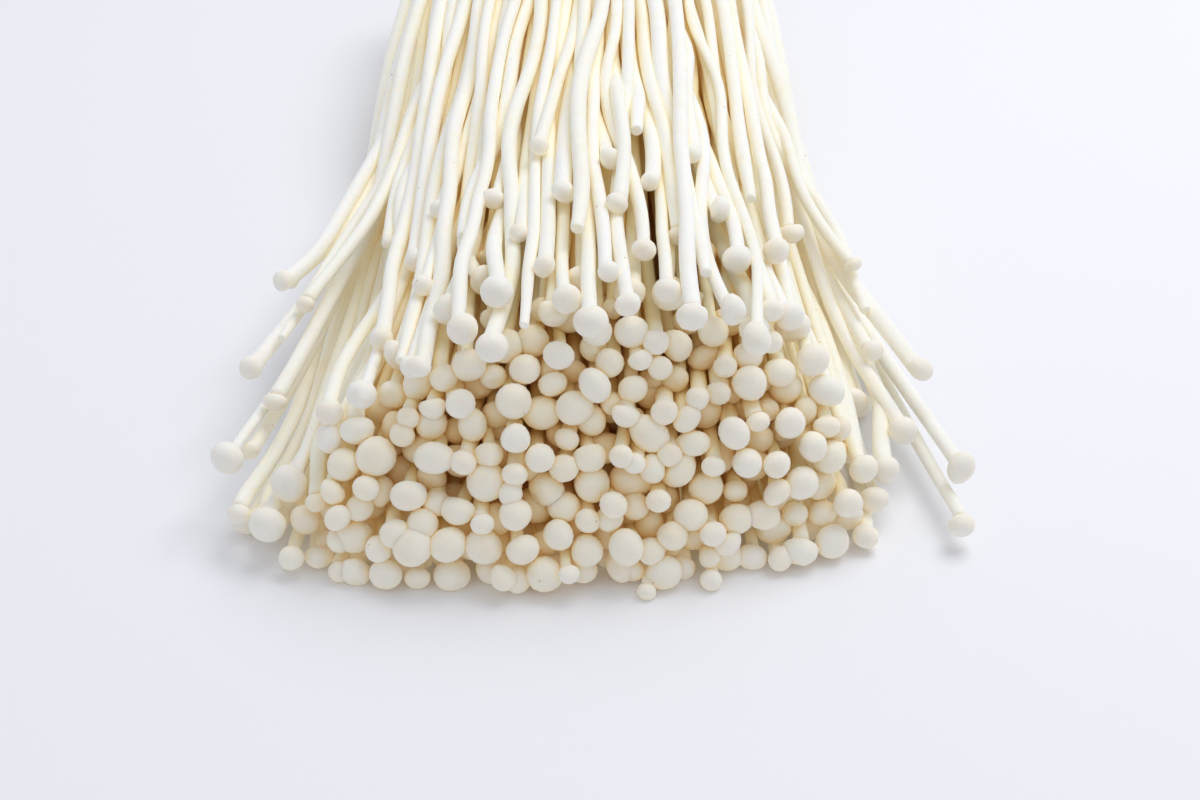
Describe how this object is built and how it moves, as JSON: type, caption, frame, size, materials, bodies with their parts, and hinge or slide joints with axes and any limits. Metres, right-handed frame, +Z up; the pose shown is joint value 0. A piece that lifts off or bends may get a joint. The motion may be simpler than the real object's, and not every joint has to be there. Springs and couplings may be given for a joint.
{
  "type": "enoki mushroom bunch",
  "caption": "Fresh enoki mushroom bunch lying on its side: long thin pale stems fan out from one cut root base to a dome of small round caps.",
  "frame": {"origin": "middle of the bunch's footprint, on the surface that it lies on", "axes": "+Y from the caps to the root base, along the stems; +X across the bunch, to the right when facing +Y; +Z up"},
  "size_m": [0.1328, 0.1966, 0.0503],
  "materials": {
    "mushroom": "matte, smooth, moist flesh",
    "root": "rough, fibrous, dull"
  },
  "bodies": {
    "root": {"root_base": "root", "inner_mushrooms": "mushroom", "mushroom_01": "mushroom", "mushroom_02": "mushroom", "mushroom_03": "mushroom", "mushroom_04": "mushroom", "mushroom_05": "mushroom", "mushroom_06": "mushroom", "mushroom_07": "mushroom", "mushroom_08": "mushroom", "mushroom_09": "mushroom", "mushroom_10": "mushroom", "mushroom_11": "mushroom", "mushroom_12": "mushroom", "mushroom_13": "mushroom", "mushroom_14": "mushroom", "mushroom_15": "mushroom", "mushroom_16": "mushroom", "mushroom_17": "mushroom", "mushroom_18": "mushroom", "mushroom_19": "mushroom", "mushroom_20": "mushroom", "mushroom_21": "mushroom", "mushroom_22": "mushroom", "mushroom_23": "mushroom", "mushroom_24": "mushroom", "mushroom_25": "mushroom", "mushroom_26": "mushroom", "mushroom_27": "mushroom", "mushroom_28": "mushroom", "mushroom_29": "mushroom", "mushroom_30": "mushroom", "mushroom_31": "mushroom", "mushroom_32": "mushroom", "mushroom_33": "mushroom", "mushroom_34": "mushroom", "mushroom_35": "mushroom", "mushroom_36": "mushroom", "mushroom_37": "mushroom", "mushroom_38": "mushroom", "mushroom_39": "mushroom", "mushroom_40": "mushroom", "mushroom_41": "mushroom", "mushroom_42": "mushroom", "mushroom_43": "mushroom", "mushroom_44": "mushroom", "mushroom_45": "mushroom", "mushroom_46": "mushroom", "mushroom_47": "mushroom", "mushroom_48": "mushroom", "mushroom_49": "mushroom", "mushroom_50": "mushroom", "mushroom_51": "mushroom", "mushroom_52": "mushroom", "mushroom_53": "mushroom", "mushroom_54": "mushroom", "mushroom_55": "mushroom", "mushroom_56": "mushroom"}
  },
  "joints": []
}
